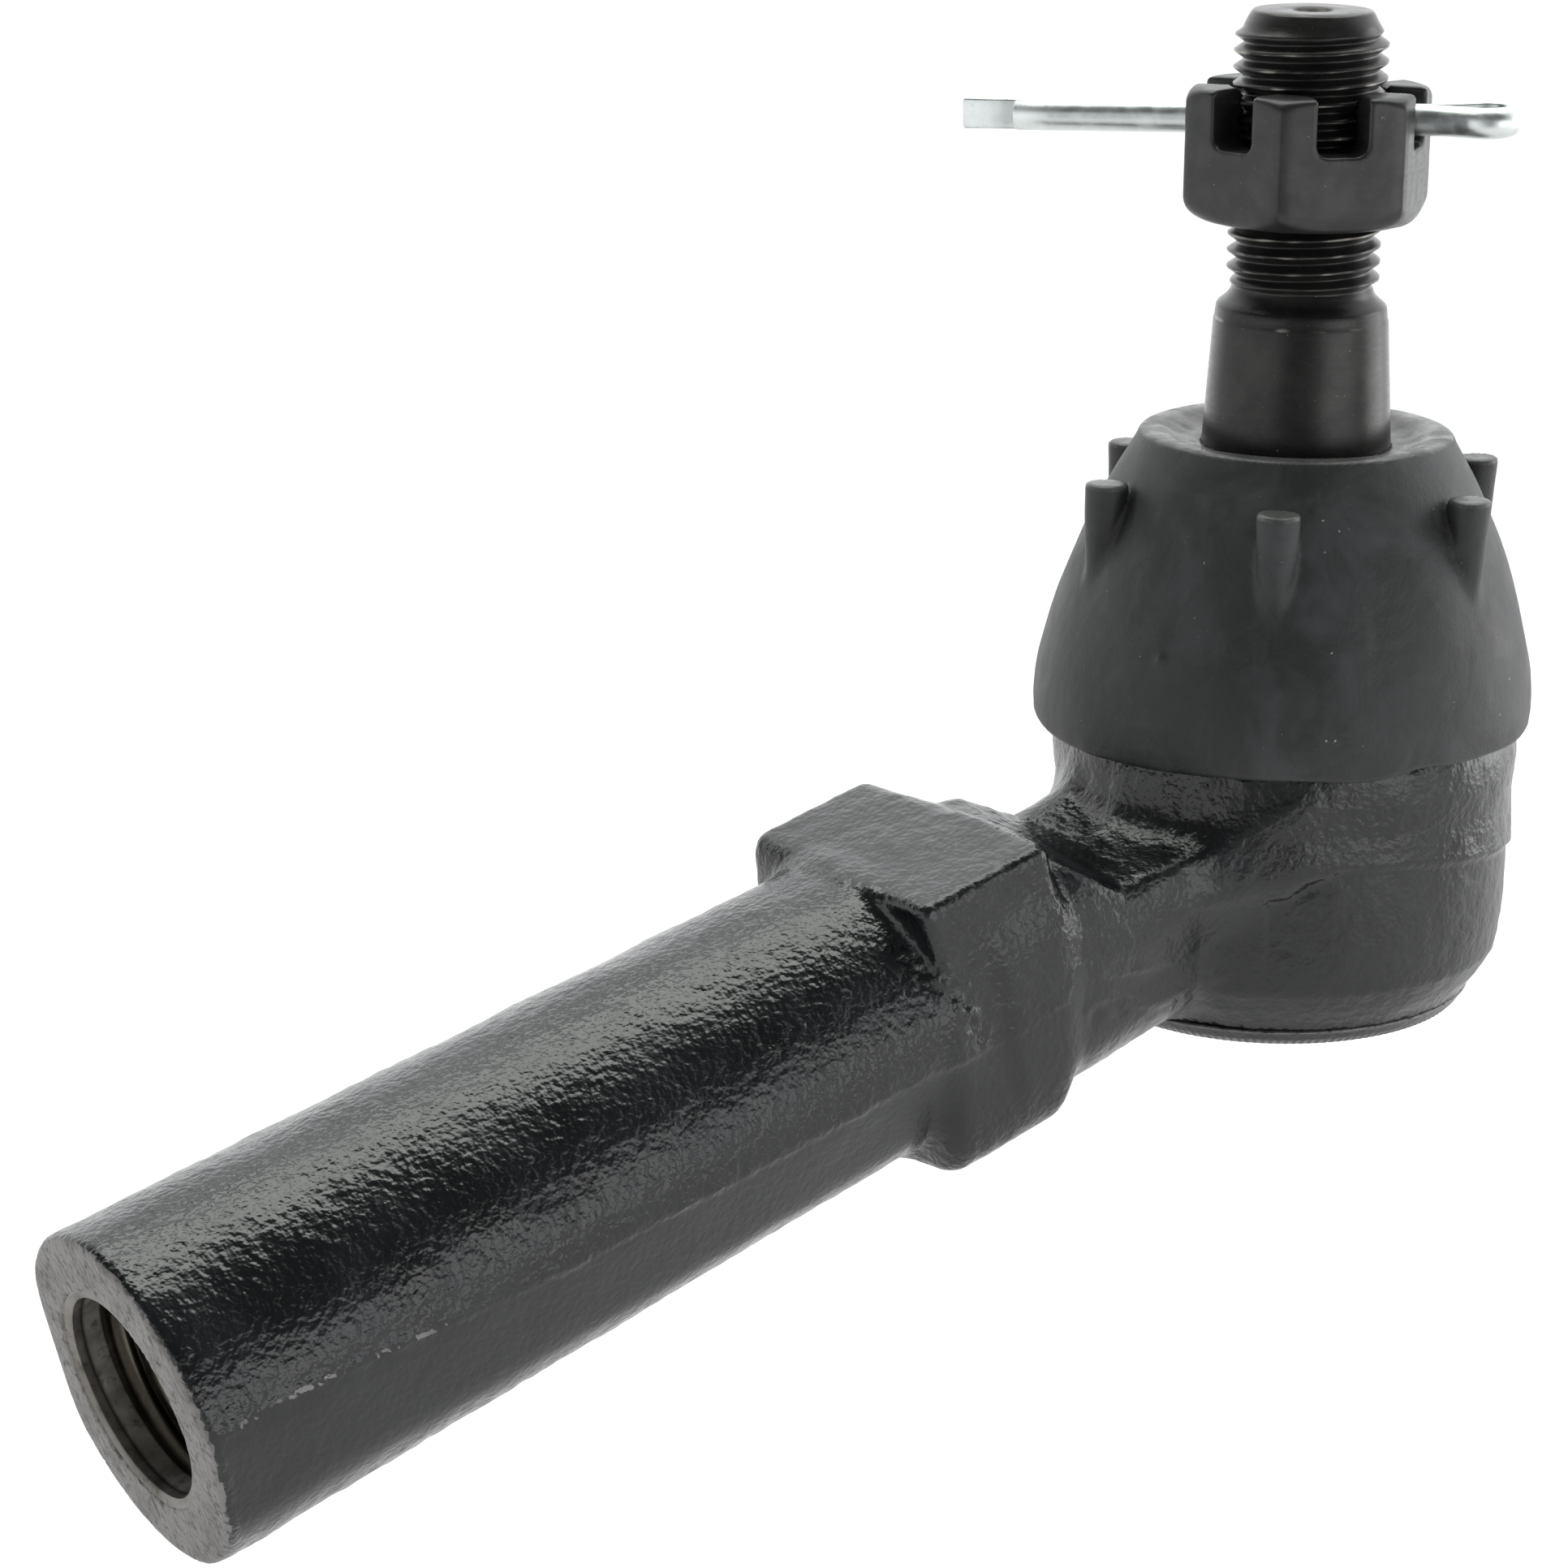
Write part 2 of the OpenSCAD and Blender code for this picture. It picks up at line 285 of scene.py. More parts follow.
def lathe(profile, columns, shape=None):
    """A surface turned about Z from (radius, height) rows.

    shape(radius, angle, height) may change the radius.
    """
    profile = np.asarray(profile, float)
    angle = np.linspace(0, 2 * math.pi, columns, endpoint=False)
    radius, height = (np.repeat(profile[:, [i]], columns, 1) for i in (0, 1))
    turn = np.repeat(angle[None], len(profile), 0)
    if shape is not None:
        radius = shape(radius, turn, height)
    points = np.stack([radius * np.cos(turn), radius * np.sin(turn), height], -1).reshape(-1, 3)
    return points, ring_faces(len(profile), columns)


def fine_rows(corners, step):
    """Rows at most a step apart along an outline given by its corners."""
    rows = [corners[0]]
    for a, b in zip(corners[:-1], corners[1:]):
        parts = max(1, math.ceil(math.dist(a, b) / step))
        rows += [tuple(np.array(a) + (np.array(b) - a) * i / parts) for i in range(1, parts + 1)]
    return rows


def along_shank(points):
    """Points given with the shank's axis as +Z and up as +X, turned into the frame."""
    points = np.asarray(points, float)
    up = np.array([-DROP_SIN, 0, DROP_COS])
    side = np.array([0, 1.0, 0])
    return points[:, [0]] * up + points[:, [1]] * side + points[:, [2]] * SHANK_AXIS


def thread_wave(height, angle, turn):
    """From 0 at a thread's root to 1 at its crest, with a flattened crest and root."""
    phase = height / THREAD_PITCH - angle / (2 * math.pi) - turn
    sway = np.abs((phase - np.round(phase)) * 2)
    return np.clip((0.93 - sway) / 0.8, 0, 1)


# ---------------------------------------------------------------- materials

def new_material(name, **sockets):
    """A material, its node tree and its shader, with constant socket values set on the shader."""
    material = bpy.data.materials.new(name)
    material.use_nodes = True
    tree = material.node_tree
    shader = tree.nodes["Principled BSDF"]
    for socket, value in sockets.items():
        shader.inputs[socket.replace("_", " ")].default_value = value
    return material, tree, shader


def add_node(tree, kind, inputs=None, **settings):
    node = tree.nodes.new(kind)
    for key, value in settings.items():
        setattr(node, key, value)
    for key, value in (inputs or {}).items():
        if isinstance(value, bpy.types.NodeSocket):
            tree.links.new(value, node.inputs[key])
        else:
            node.inputs[key].default_value = value
    return node


def object_place(tree, stretch=(1, 1, 1), turn=(0, 0, 0)):
    """The piece's own coordinates in millimetres, stretched and turned."""
    place = add_node(tree, "ShaderNodeTexCoord").outputs["Object"]
    inputs = {"Vector": place, "Scale": tuple(v / MM for v in stretch), "Rotation": turn}
    return add_node(tree, "ShaderNodeMapping", inputs).outputs[0]


def noise(tree, place, size, detail=3.0, rough=0.55, warp=0.0):
    """Noise from 0 to 1 with features about that many millimetres across."""
    inputs = {"Vector": place, "Scale": 1 / size, "Detail": detail, "Roughness": rough, "Distortion": warp}
    return add_node(tree, "ShaderNodeTexNoise", inputs).outputs[0]


def ramp(tree, value, low, high, start=0.0, end=1.0):
    """The value carried smoothly from low..high to start..end, and held outside."""
    inputs = {"Value": value, "From Min": low, "From Max": high, "To Min": start, "To Max": end}
    node = add_node(tree, "ShaderNodeMapRange", inputs)
    node.interpolation_type = "SMOOTHSTEP"
    return node.outputs[0]


def maths(tree, operation, a, b):
    return add_node(tree, "ShaderNodeMath", {0: a, 1: b}, operation=operation).outputs[0]


def times(tree, a, b):
    return maths(tree, "MULTIPLY", a, b)


def mix_colour(tree, share, a, b):
    node = add_node(tree, "ShaderNodeMix", {"Factor": share}, data_type="RGBA")
    for socket, value in ((node.inputs[6], a), (node.inputs[7], b)):
        if isinstance(value, bpy.types.NodeSocket):
            tree.links.new(value, socket)
        else:
            socket.default_value = (*value, 1)
    return node.outputs[2]


def cloudy(tree, cloud, a, b):
    """Two colours that change over in the cloud's middle values."""
    return mix_colour(tree, ramp(tree, cloud, 0.35, 0.7), a, b)


def mix_value(tree, share, a, b):
    return add_node(tree, "ShaderNodeMix", {"Factor": share, 2: a, 3: b}).outputs[0]


def bump(tree, height, depth, below=None):
    """A bump of that many millimetres, on top of another."""
    inputs = {"Height": height, "Distance": depth * MM, "Strength": 1.0}
    if below is not None:
        inputs["Normal"] = below
    return add_node(tree, "ShaderNodeBump", inputs).outputs[0]


def attribute(tree, name):
    return add_node(tree, "ShaderNodeAttribute", attribute_name=name).outputs["Fac"]


def set_colour(tree, shader, colour):
    tree.links.new(colour, shader.inputs["Base Color"])


def set_value(tree, shader, socket, value):
    tree.links.new(value, shader.inputs[socket])


def paint_material():
    """Black paint over a forged skin, worn to grey steel where the piece's own 'bare' value says; on the
    rolled lip that value also paints a thin highlight line as grey steel.
    """
    material, tree, shader = new_material("forging_paint", Specular_IOR_Level=0.5)
    place = object_place(tree)
    peel = noise(tree, place, 0.62, 1.0, 0.4)
    grain = noise(tree, place, 0.27, 1.0, 0.5)
    patches = noise(tree, place, 7.0, 3.0)
    bare_and_highlight_value = attribute(tree, "bare")
    chips = times(tree, noise(tree, place, 0.5, 3.0, 0.6), 0.5)
    bare = ramp(tree, maths(tree, "ADD", bare_and_highlight_value, chips), 0.72, 0.82)
    smoothness = attribute(tree, "smooth")
    pits = ramp(tree, noise(tree, place, 0.8, 4.0, 0.7), 0.53, 0.62)
    stains = ramp(tree, noise(tree, place, 3.2, 3.0), 0.4, 0.68)
    steel = mix_colour(tree, stains, (0.19, 0.185, 0.18), (0.13, 0.122, 0.115))
    steel = mix_colour(tree, times(tree, pits, 0.75), steel, (0.035, 0.032, 0.03))
    paint = cloudy(tree, patches, (0.0042, 0.0046, 0.0052), (0.0072, 0.0079, 0.0092))
    set_colour(tree, shader, mix_colour(tree, bare, paint, steel))
    gloss = ramp(tree, patches, 0.3, 0.7, 0.17, 0.26)
    gloss = mix_value(tree, times(tree, smoothness, smoothness), gloss, 0.42)
    set_value(tree, shader, "Roughness", mix_value(tree, bare, gloss, 0.5))
    set_value(tree, shader, "Metallic", times(tree, bare, 0.55))
    relief = mix_value(tree, smoothness, 1.0, 0.5)
    coarse = bump(tree, times(tree, peel, relief), 0.15)
    fine = bump(tree, times(tree, grain, relief), 0.03, coarse)
    set_value(tree, shader, "Normal", fine)
    return material


def rubber_material():
    """Matt moulded rubber with a greyish bloom, dust and a fine grain, lighter and glossier on its top:
    partly rubbed, partly a painted sheen.
    """
    material, tree, shader = new_material("boot_rubber", Specular_IOR_Level=0.42)
    place = object_place(tree)
    cloud = noise(tree, place, 7.5, 4.0, 0.6, 0.6)
    smear = noise(tree, object_place(tree, (1, 1, 0.35)), 2.2, 3.0, 0.6)
    dust = ramp(tree, noise(tree, place, 0.55, 2.0, 0.6), 0.72, 0.77)
    scarce = ramp(tree, noise(tree, place, 4.0, 1.0), 0.5, 0.62)
    dust = times(tree, dust, scarce)
    bloom = ramp(tree, cloud, 0.38, 0.68)
    base = mix_colour(tree, bloom, (0.0135, 0.014, 0.0148), (0.034, 0.035, 0.0365))
    smeared = times(tree, ramp(tree, smear, 0.5, 0.8), 0.35)
    base = mix_colour(tree, smeared, base, (0.05, 0.051, 0.052))
    patchy = ramp(tree, noise(tree, place, 2.5, 4.0), 0.3, 0.7, 0.3, 1)
    # Painted sheen: the top face and nib tops are lightened to grey, partly for rubbing and partly for the
    # reflection on the up-facing top.
    rubbed = times(tree, attribute(tree, "rubbed"), patchy)
    base = mix_colour(tree, rubbed, base, (0.105, 0.106, 0.102))
    set_colour(tree, shader, mix_colour(tree, dust, base, (0.30, 0.30, 0.30)))
    matt = ramp(tree, cloud, 0.3, 0.7, 0.48, 0.6)
    set_value(tree, shader, "Roughness", mix_value(tree, rubbed, matt, 0.22))
    grain = bump(tree, noise(tree, place, 0.35, 3.0, 0.6), 0.03)
    set_value(tree, shader, "Normal", bump(tree, cloud, 0.12, grain))
    return material


def oxide_material(name, dark, light, gloss, metal):
    """Black oxide steel: satin, with handling marks, and brighter where its edges are worn; on the stud
    the lighter thread crests and shoulder edge are partly wear and partly painted highlights.
    """
    material, tree, shader = new_material(name, Specular_IOR_Level=0.5, Metallic=metal)
    place = object_place(tree)
    cloud = noise(tree, place, 3.5, 4.0, 0.6)
    marks = noise(tree, object_place(tree, (1, 1, 7)), 2.2, 4.0, 0.65)
    speck = ramp(tree, noise(tree, place, 0.35, 2.0), 0.73, 0.77)
    # Edges and crests turn paler: partly wear, and on the stud partly painted highlights.
    wear_and_glint = maths(tree, "ADD", attribute(tree, "edge"), times(tree, cloud, 0.5))
    pale_edges = ramp(tree, wear_and_glint, 0.6, 1.1)
    base = cloudy(tree, cloud, dark, light)
    marked = times(tree, ramp(tree, marks, 0.58, 0.78), 0.12)
    base = mix_colour(tree, marked, base, (0.09, 0.088, 0.086))
    base = mix_colour(tree, times(tree, speck, 0.5), base, (0.25, 0.24, 0.22))
    set_colour(tree, shader, mix_colour(tree, pale_edges, base, (0.36, 0.33, 0.29)))
    rough = ramp(tree, marks, 0.35, 0.7, gloss - 0.03, gloss + 0.04)
    set_value(tree, shader, "Roughness", rough)
    grain = bump(tree, noise(tree, place, 0.22, 2.0), 0.006)
    set_value(tree, shader, "Normal", bump(tree, marks, 0.004, grain))
    return material


def zinc_material():
    """Bright zinc plate, drawn along the wire."""
    material, tree, shader = new_material("pin_zinc", Metallic=1.0)
    turn = (0, 0, math.radians(-PIN_TURN))
    drawn = noise(tree, object_place(tree, (0.12, 1, 1), turn), 0.35, 3.0, 0.6)
    cloud = noise(tree, object_place(tree), 1.6, 3.0)
    base = cloudy(tree, cloud, (0.55, 0.58, 0.575), (0.68, 0.715, 0.705))
    marks = ramp(tree, noise(tree, object_place(tree), 0.8, 3.0), 0.63, 0.72)
    dulled = times(tree, marks, 0.35)
    set_colour(tree, shader, mix_colour(tree, dulled, base, (0.42, 0.43, 0.43)))
    set_value(tree, shader, "Roughness", ramp(tree, cloud, 0.3, 0.7, 0.3, 0.42))
    set_value(tree, shader, "Normal", bump(tree, drawn, 0.006))
    return material


def bore_material():
    """Machined steel in the shank's bore, browned with oil."""
    material, tree, shader = new_material("bore_steel", Metallic=0.8)
    place = object_place(tree)
    cloud = noise(tree, place, 2.6, 4.0, 0.6)
    rust = ramp(tree, noise(tree, place, 1.1, 4.0, 0.65), 0.5, 0.7)
    base = cloudy(tree, cloud, (0.025, 0.021, 0.016), (0.05, 0.043, 0.034))
    turned = cloudy(tree, cloud, (0.34, 0.32, 0.295), (0.5, 0.475, 0.45))
    base = mix_colour(tree, attribute(tree, "machined"), base, turned)
    crests = times(tree, attribute(tree, "crest"), 0.7)
    base = mix_colour(tree, crests, base, (0.34, 0.31, 0.25))
    rusty = times(tree, rust, 0.6)
    set_colour(tree, shader, mix_colour(tree, rusty, base, (0.055, 0.042, 0.032)))
    set_value(tree, shader, "Roughness", ramp(tree, cloud, 0.3, 0.7, 0.32, 0.5))
    set_value(tree, shader, "Normal", bump(tree, noise(tree, place, 0.3, 3.0), 0.012))
    return material


def plain_metal(name, dark, light, roughness, metal):
    """Cloudy metal for the inner pieces."""
    material, tree, shader = new_material(name, Metallic=metal)
    place = object_place(tree)
    cloud = noise(tree, place, 2.4, 4.0, 0.6)
    set_colour(tree, shader, cloudy(tree, cloud, dark, light))
    rough = ramp(tree, cloud, 0.3, 0.7, roughness - 0.06, roughness + 0.08)
    set_value(tree, shader, "Roughness", rough)
    set_value(tree, shader, "Normal", bump(tree, noise(tree, place, 0.4, 3.0), 0.01))
    return material


def bearing_material():
    """Natural acetal with faint flow marks."""
    material, tree, shader = new_material("bearing_plastic", Roughness=0.42, Subsurface_Weight=0.1)
    flow = ramp(tree, noise(tree, object_place(tree, (1, 1, 0.3)), 3.0, 3.0, 0.5, 1.0), 0.3, 0.7)
    set_colour(tree, shader, mix_colour(tree, flow, (0.74, 0.71, 0.62), (0.82, 0.80, 0.72)))
    set_value(tree, shader, "Normal", bump(tree, noise(tree, object_place(tree), 0.3, 2.0), 0.01))
    return material


def floor_material():
    """A table that glows white, so that shadows on it stay faint."""
    material, tree, shader = new_material("floor_white", Roughness=0.6, Emission_Strength=1.0,
                                          Emission_Color=(1, 1, 1, 1), Specular_IOR_Level=0.1)
    cloud = noise(tree, object_place(tree), 180.0, 2.0)
    set_colour(tree, shader, mix_colour(tree, cloud, (0.12, 0.12, 0.12), (0.14, 0.14, 0.14)))
    return material


# ---------------------------------------------------------------- housing

# Height and radius, from the bottom up.
HEAD_OUTLINE = ((HEAD_BOTTOM, 18.15), (-18.4, 18.65), (-17.0, 19.6), (-15.0, 20.65), (-12.0, 21.0),
                (-8.0, 21.3), (-4.0, 21.5), (0.0, 21.3), (3.0, 21.6), (5.4, 21.5), (7.0, 20.9),
                (8.5, 20.0), (12.5, 17.0))
SOCKET_OUTLINE = ((-25.0, 15.2), (-18.9, 15.2), (-18.85, 16.6), (-16.6, 16.6), (-16.55, 16.0),
                  (0.0, 16.0), (4.0, 15.5), (8.0, 13.86), (10.58, 12.0), (12.6, 13.0), (20.0, 14.0))
# Distance along the shank and height above its axis.
FLASH_LINE = ((8, -5.8), (16, -3.9), (25, -4.6), (29.4, -3.1), (33.5, -1.6), (36.6, 1.5),
              (38.5, -1.2), (45, -2.0), (52, -1.7), (60, -1.3), (92, -0.2), (118, 2.2))
LOWER_LINE = ((10.1, -10.3), (14.4, -9.1), (18.3, -8.5), (24.2, -8.2), (28.9, -7.3),
              (33.4, -3.9), (35.3, -3.6), (37.1, -4.4))
PAD_LEFT = ((-13, 54.1), (-8, 53.4), (0, 52.0), (9, 51.5), (13, 51.05))
PAD_RIGHT = ((-13, 39.3), (-7, 37.9), (-1, 37.3), (6.6, 36.75), (13, 36.45))
ARM_RIDGE = ((18, 7.6), (20, 7.1), (22, 6.8), (24.5, 6.6), (27, 6.6), (28.6, 7.8),
             (30.7, 9.6), (33.2, 11.3), (38, 13))
ARM_CREASE = ((13, 4.2), (16, 4.4), (19, 4.3), (24.2, 4.8), (29.4, 5.0), (32.8, 7.9),
              (36, 11.3), (38, 12.5))


def along_line(value, line):
    """The second number of a line's pairs, read off at a value of the first."""
    return np.interp(value, *zip(*line))


def shank_coordinates(x, y, z):
    """Distance along the shank, and height above its axis."""
    return -x * DROP_COS - z * DROP_SIN, -x * DROP_SIN + z * DROP_COS


def head_field(x, y, z):
    """The round head, whose rim sits a little off centre."""
    drift = 0.25 * np.clip((-12 - z) / 7, 0, 1)
    wall = np.hypot(x - OFFSET_X * drift, y - OFFSET_Y * drift) - along_line(z, HEAD_OUTLINE)
    top = HEAD_OUTLINE[-1][0]
    return smooth_max(wall, np.maximum(z - top, HEAD_BOTTOM - z), 0.2)


def socket_field(x, y, z):
    """The hollow for the ball and its bearings."""
    return np.hypot(x, y) - along_line(z, SOCKET_OUTLINE)


def shank_field(s, y, h):
    """Tapered bar, with the flash trimmed off along its front and its back."""
    middle = -0.2
    front_trim, back_trim = 0.55, 1.55
    radius = np.interp(s, [SHANK_ROOT, SHANK_END], [SHANK_ROOT_R, SHANK_END_R])
    bar = np.hypot(y - middle, h) - radius
    turn = np.radians(np.interp(s, [63, 115], [22, 12]))
    front = -(y - middle) * np.cos(turn) - h * np.sin(turn) - (radius - front_trim)
    back = y - (radius - back_trim)
    bar = smooth_max(smooth_max(bar, front, 0.35), back, 1.2)
    crown_start, crown_rise = 12.95, 0.13
    crown = h - crown_start - crown_rise * np.clip(s - SHANK_ROOT, 0, 40)
    bar = smooth_max(bar, crown, 0.8)
    return smooth_max(bar, s - SHANK_END, 0.9)


def pad_field(s, y, h):
    """Square wrench pad with leaning ends and softened lower corners."""
    half, top, bottom = 13.4, 13.0, 13.8
    front_cut = np.interp(h, [0, 7.5, 13], [0.9, 1.1, 0]) * np.clip(-y / 8, 0, 1)
    ends = np.maximum(s - (along_line(h, PAD_LEFT) - front_cut), along_line(h, PAD_RIGHT) - s)
    side = np.abs(y) - (half - 0.45 * np.minimum(np.abs(h) / half, 1.2))
    block = smooth_max(side, h - top, 1.1)
    block = smooth_max(block, -h - bottom, 3)
    low_corners = (np.abs(y) - h) / math.sqrt(2) - 18.5
    block = smooth_max(block, low_corners, 3)
    return smooth_max(block, ends, np.interp(h, [-6, 8], [2.4, 1.3]) + 0.9 * (y > 0))


def arm_field(s, y, h):
    """Arm with a full round belly, steep trimmed sides, and a top that slopes down to the front."""
    flare = np.interp(s, [13, 20, 30, 36], [5.0, 2.4, 1.0, 0.4]) * np.clip((h + 5) / 5, 0, 1)
    half_width = np.interp(s, [22, 36], [11.5, 12.9]) + flare
    half_height, middle = 12.9, -1.0
    power = 2.7
    lift = h - middle
    ring = (np.abs(y / (half_width + 0.6)) ** power + np.abs(lift / half_height) ** power) ** (1 / power)
    bar = (ring - 1) * half_width
    bar = smooth_max(bar, np.abs(y) - half_width, 0.8)
    ridge, crease = along_line(s, ARM_RIDGE), along_line(s, ARM_CREASE)
    ridge_y, crease_y = 6.0, 1.0 - half_width
    share = np.clip((y - crease_y) / (ridge_y - crease_y), 0, 1)
    roof = crease + (ridge - crease) * share
    bar = smooth_max(bar, (h - roof) * 0.9, 0.8)
    front = (h - crease + 3.4 * (crease_y - y)) * 0.28
    back = (h - ridge + 0.9 * (y - ridge_y)) * 0.74
    bar = smooth_max(smooth_max(bar, front, 1.2), back, 1.6)
    return smooth_max(bar, np.maximum(8 - s, s - 44), 1)


def forging_field(x, y, z):
    """Head, arm, pad and shank with their fillets, less the socket and the shank's hole."""
    s, h = shank_coordinates(x, y, z)
    y = y + np.zeros_like(s)
    arm = arm_field(s, y, h)
    pad = pad_field(s, y, h)
    shank = smooth_max(shank_field(s, y, h), SHANK_ROOT - 4 - s, 3)
    fillet = 2.0 + 3.2 * np.clip((h + 5) / 6, 0, 1) * np.clip((3 - y) / 6, 0.1, 1)
    body = smooth_min(arm, head_field(x, y, z), fillet)
    body = smooth_min(body, pad, 1.9)
    body = smooth_min(body, shank, 1.5)
    behind_lining = MOUTH_R + 0.03 + np.clip((SHANK_END - 0.5 - s) * 2, 0, 0.6)
    bore = np.maximum(np.hypot(y, h) - behind_lining, BORE_THREAD_DEEP - 1.5 - s)
    body = smooth_max(body, -bore, 0.25)
    return np.maximum(body, -socket_field(x, y, z))


def head_parting(points):
    """Shift of the forging's parting step on the head, and where the head is smooth below it."""
    turn = np.degrees(np.arctan2(points[:, 1], points[:, 0]))
    line = np.interp(turn, [-130, -121, -118, -100, -45, 60], [-5.4, -3.6, -2.7, -2.9, -4.9, -5.0])
    shows = (turn > -135) & (turn < 60)
    s = shank_coordinates(*points.T)[0]
    on_head = (np.hypot(points[:, 0], points[:, 1]) > 19) & (points[:, 2] < 6) & (s < 30)
    gap = points[:, 2] - line
    below = np.clip(-gap / 0.4, 0, 1) * np.clip(1 + (gap + 1) / 9, 0, 1)
    step = on_head * shows * (0.12 * np.exp(-(gap / 0.45) ** 2) - 0.32 * below)
    notch = np.exp(-((turn + 125) / 4.0) ** 2 - ((gap + 0.2) / 0.6) ** 2)
    return step - 0.55 * notch * on_head, np.clip(-gap, 0, 1) * on_head


def side_marks(points):
    """Shift of the trimmed flash's burrs and the pad's torn edge, and where the side was trimmed."""
    s, h = shank_coordinates(*points.T)
    y = points[:, 1]
    flash_gap = h - along_line(s, FLASH_LINE)
    on_side = (y < -9.5) & (s > 22) & (s < SHANK_END - 1)
    trimmed = on_side * np.clip(-flash_gap / 0.6, 0, 1) * np.clip((h + 10) / 2, 0, 1)
    broken = np.clip(bumps(points, 3.2, 21) * 1.4 + 0.35, 0, 1)
    burr = on_side * (0.06 + 0.12 * broken) * np.exp(-(flash_gap / 0.33) ** 2)
    torn_gap = s - 47.8 - 0.45 * h
    on_pad_edge = (y < -8) & (h > -1.5) & (h < 9)
    torn = 0.3 * on_pad_edge * np.exp(-(torn_gap / 1.1) ** 2) * bumps(points, 1.1, 23)
    lower_gap = h - along_line(s, LOWER_LINE)
    on_arm = (y < -7) & (s > 20) & (s < 36.5)
    ragged = 0.1 * np.exp(-(lower_gap + 1.2) ** 2) * bumps(points, 1.8, 22)
    lower = on_arm * (0.22 * np.exp(-(lower_gap / 0.5) ** 2) + ragged)
    return burr + torn + lower, trimmed


def build_forging(material):
    """The housing's forging, with cast lumps, burrs and worn or machined places."""
    step = 0.45
    low, high = (-128.5, -23.5, -48.5), (23.5, 23.5, 14.5)
    points, quads = surface_net(forging_field, low, high, step)
    points, normals = settle(forging_field, points, step)
    s, h = shank_coordinates(*points.T)
    y = points[:, 1]
    outside = (np.hypot(y, h) > MOUTH_R + 0.4) | (s < 50)
    end_face = (s > SHANK_END - 0.2) & (normals @ SHANK_AXIS > 0.8)
    forged = outside & ~end_face & (socket_field(*points.T) > 0.3)
    marks, trimmed = side_marks(points)
    parting, below_parting = head_parting(points)
    lumps = 0.028 * bumps(points, 2.4, 11) + 0.022 * bumps(points, 1.4, 12) + 0.06 * bumps(points, 9, 13)
    shift = lumps * forged * (1 - 0.65 * trimmed) + marks + parting
    points = points + normals * shift[:, None]
    piece = make_piece("forging", points, quads, "housing", material)
    bend = convexity(points, normals, quads)
    edge_chips = np.clip(bend * 1.3, 0, 0.47) * (s > SHANK_END - 1.2)
    near_end = (y < -8) * np.clip((s - 98) / 8, 0, 1) * (s < SHANK_END - 2)
    specks = np.clip(bumps(points, 1.1, 24) * 2 + 0.7, 0, 1)
    flash_gap = h - along_line(s, FLASH_LINE)
    flash = 0.85 * np.exp(-(flash_gap / 0.36) ** 2) * near_end * specks
    pale_edges = np.clip(bend * 0.9 - 0.22, 0, 0.3) * (s < 70) * (s > 30)
    machined = end_face | (s > SHANK_END - 0.12) | (~outside & (s > 50))
    bare = np.where(machined, 1.0, edge_chips)
    add_values(piece, "bare", np.maximum(bare, np.maximum(flash, pale_edges)))
    arm_side = 0.5 * np.clip((52 - s) / 3, 0, 1)
    add_values(piece, "smooth", np.maximum(np.maximum(trimmed, 0.85 * below_parting), arm_side))
    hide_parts("housing")


def build_lip(material):
    """The lip rolled in over the cover plate, with the roller's fine teeth round its lower edge."""
    teeth = 150
    columns = teeth * 6
    teeth_z, highlight_line_z = -20.62, -19.28
    lean, offset = 0.012, 0.25
    corners = ((15.3, -18.6), (18.05, -19.1), (18.42, -19.3), (18.25, -19.5), (17.8, -20.2),
               (17.3, -20.6), (16.9, LIP_BOTTOM), (15.2, LIP_BOTTOM + 0.05), (14.6, -20.5),
               (14.5, -19.0), (15.3, -18.6))
    rows = fine_rows(corners[::-1], 0.25)

    def toothed(radius, turn, height):
        share = np.exp(-((height - teeth_z) / 0.24) ** 2) * (radius > 16.2)
        return radius + 0.13 * share * np.cos(teeth * turn)

    points, quads = lathe(rows, columns, toothed)
    points[:, 2] -= lean * (OFFSET_X * points[:, 0] + OFFSET_Y * points[:, 1])
    points += (offset * OFFSET_X, offset * OFFSET_Y, -0.05)
    piece = make_piece("rolled_lip", points, quads, "housing", material)
    heights = np.repeat([z for _, z in rows], columns)
    # Painted highlight: a thin continuous line of grey steel along the lip's outer top edge, standing in
    # for the light that edge catches.
    add_values(piece, "bare", 0.85 * np.exp(-((heights - highlight_line_z) / 0.15) ** 2))
    add_values(piece, "smooth", np.full(len(points), 0.85))


